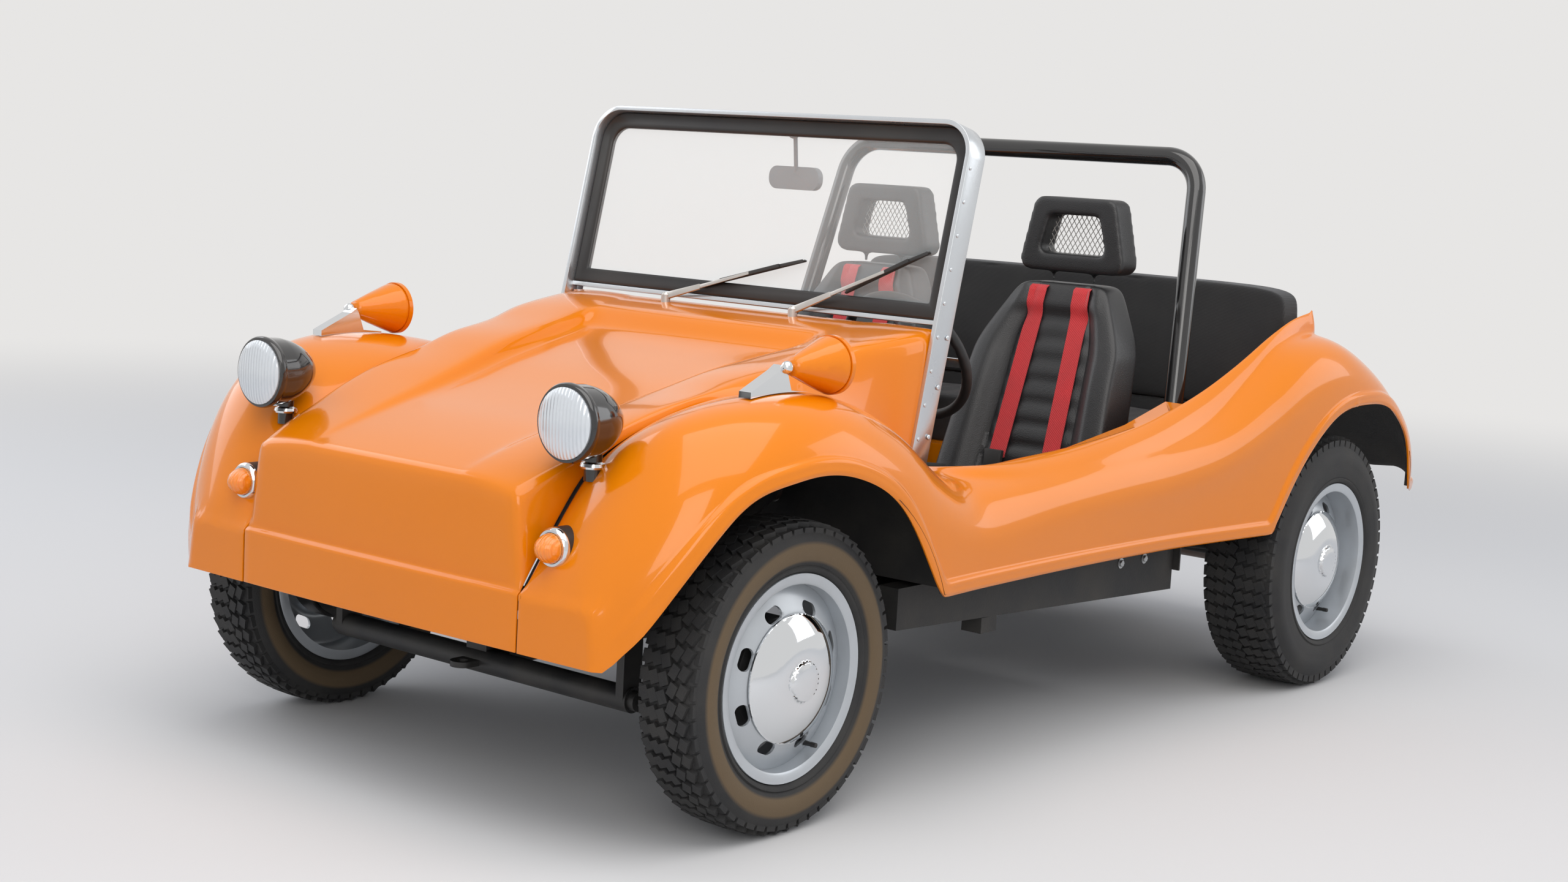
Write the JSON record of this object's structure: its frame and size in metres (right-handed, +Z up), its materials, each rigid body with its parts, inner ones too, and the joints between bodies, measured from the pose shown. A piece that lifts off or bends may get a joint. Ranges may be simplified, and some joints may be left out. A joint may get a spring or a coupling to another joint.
{
  "type": "dune buggy",
  "caption": "Open four-seat dune buggy with a moulded orange body, slotted steel wheels, bucket seats, roll hoop, framed windscreen and a rear engine.",
  "frame": {"origin": "centre of the overall box, on the ground under the tyres", "axes": "+Z up; -Y towards the nose; +X towards the car's own left side, where the driver sits"},
  "size_m": [1.7362, 3.1598, 1.4146],
  "materials": {
    "body_paint": "glossy",
    "underbody_black": "satin",
    "chassis_black": "satin",
    "engine_metal": "cast",
    "exhaust_steel": "dull",
    "wheel_silver": "satin",
    "chrome": "polished",
    "tyre_rubber": "matte",
    "seal_rubber": "matte",
    "screen_alloy": "satin",
    "clear_glass": "clear",
    "lamp_glass": "fluted",
    "amber_lens": "translucent",
    "red_lens": "translucent",
    "black_gloss": "glossy",
    "black_plastic": "matte",
    "mirror_orange": "glossy",
    "seat_vinyl": "grained",
    "bench_fabric": "woven",
    "harness_red": "woven"
  },
  "bodies": {
    "chassis": {"body_tub": "body_paint", "dashboard": "black_plastic", "engine": "engine_metal", "exhaust": "exhaust_steel", "floor_pan": "underbody_black", "front_axle_beam": "chassis_black", "front_panel": "body_paint", "fuel_tank": "chassis_black", "hand_levers": "chassis_black", "harness_straps": "harness_red", "headlamp_lenses": "lamp_glass", "headlamp_shells": "black_gloss", "headrests": "seat_vinyl", "indicator_bases": "chrome", "indicator_lenses": "amber_lens", "interior_mirror": "black_plastic", "mirror_feet": "chrome", "mirror_heads": "mirror_orange", "rear_axle": "chassis_black", "rear_bumper": "chrome", "rear_seat_back": "bench_fabric", "rear_seat_cushion": "bench_fabric", "roll_bar": "black_gloss", "seat_backs": "seat_vinyl", "seat_cushions": "seat_vinyl", "seat_frames": "chassis_black", "steering_column": "chassis_black", "tail_lamp_bases": "chrome", "tail_lamp_lenses": "red_lens", "windscreen_frame": "screen_alloy", "windscreen_glass": "clear_glass", "windscreen_seal": "seal_rubber", "wipers": "black_plastic"},
    "knuckle_left": {"knuckle_left": "chassis_black"},
    "knuckle_right": {"knuckle_right": "chassis_black"},
    "track_rod": {"track_rod": "chassis_black"},
    "steering_wheel": {"steering_wheel": "black_plastic"},
    "wheel_front_left": {"tyre_front_left": "tyre_rubber", "rim_front_left": "wheel_silver", "hub_cap_front_left": "chrome"},
    "wheel_front_right": {"tyre_front_right": "tyre_rubber", "rim_front_right": "wheel_silver", "hub_cap_front_right": "chrome"},
    "wheel_rear_left": {"tyre_rear_left": "tyre_rubber", "rim_rear_left": "wheel_silver", "hub_cap_rear_left": "chrome"},
    "wheel_rear_right": {"tyre_rear_right": "tyre_rubber", "rim_rear_right": "wheel_silver", "hub_cap_rear_right": "chrome"}
  },
  "joints": [
    {"name": "steer_left", "type": "hinge", "parent": "chassis", "child": "knuckle_left", "pos_m": [0.585, -1.125, 0.311], "axis": [0, 0, 1], "range_deg": [-30, 30]},
    {"name": "steer_right", "type": "hinge", "parent": "chassis", "child": "knuckle_right", "pos_m": [-0.585, -1.125, 0.311], "axis": [0, 0, 1], "range_deg": [-30, 30]},
    {"name": "track_rod_turn", "type": "hinge", "parent": "knuckle_left", "child": "track_rod", "pos_m": [0.585, -0.995, 0.321], "axis": [0, 0, 1], "range_deg": [-30, 30]},
    {"name": "steering_wheel_turn", "type": "hinge", "parent": "chassis", "child": "steering_wheel", "pos_m": [0.3, -0.235, 0.868], "axis": [0, 0.866, 0.5], "range_deg": [-420, 420]},
    {"name": "wheel_spin_front_left", "type": "hinge", "parent": "knuckle_left", "child": "wheel_front_left", "pos_m": [0.6565, -1.125, 0.311], "axis": [1, 0, 0], "continuous": true},
    {"name": "wheel_spin_rear_left", "type": "hinge", "parent": "chassis", "child": "wheel_rear_left", "pos_m": [0.733, 0.975, 0.334], "axis": [1, 0, 0], "continuous": true},
    {"name": "wheel_spin_front_right", "type": "hinge", "parent": "knuckle_right", "child": "wheel_front_right", "pos_m": [-0.6565, -1.125, 0.311], "axis": [1, 0, 0], "continuous": true},
    {"name": "wheel_spin_rear_right", "type": "hinge", "parent": "chassis", "child": "wheel_rear_right", "pos_m": [-0.733, 0.975, 0.334], "axis": [1, 0, 0], "continuous": true}
  ],
  "couplings": [
    {"joint": "steer_right", "follows": "steer_left", "ratio": 1},
    {"joint": "track_rod_turn", "follows": "steer_left", "ratio": -1},
    {"joint": "steering_wheel_turn", "follows": "steer_left", "ratio": 14}
  ]
}
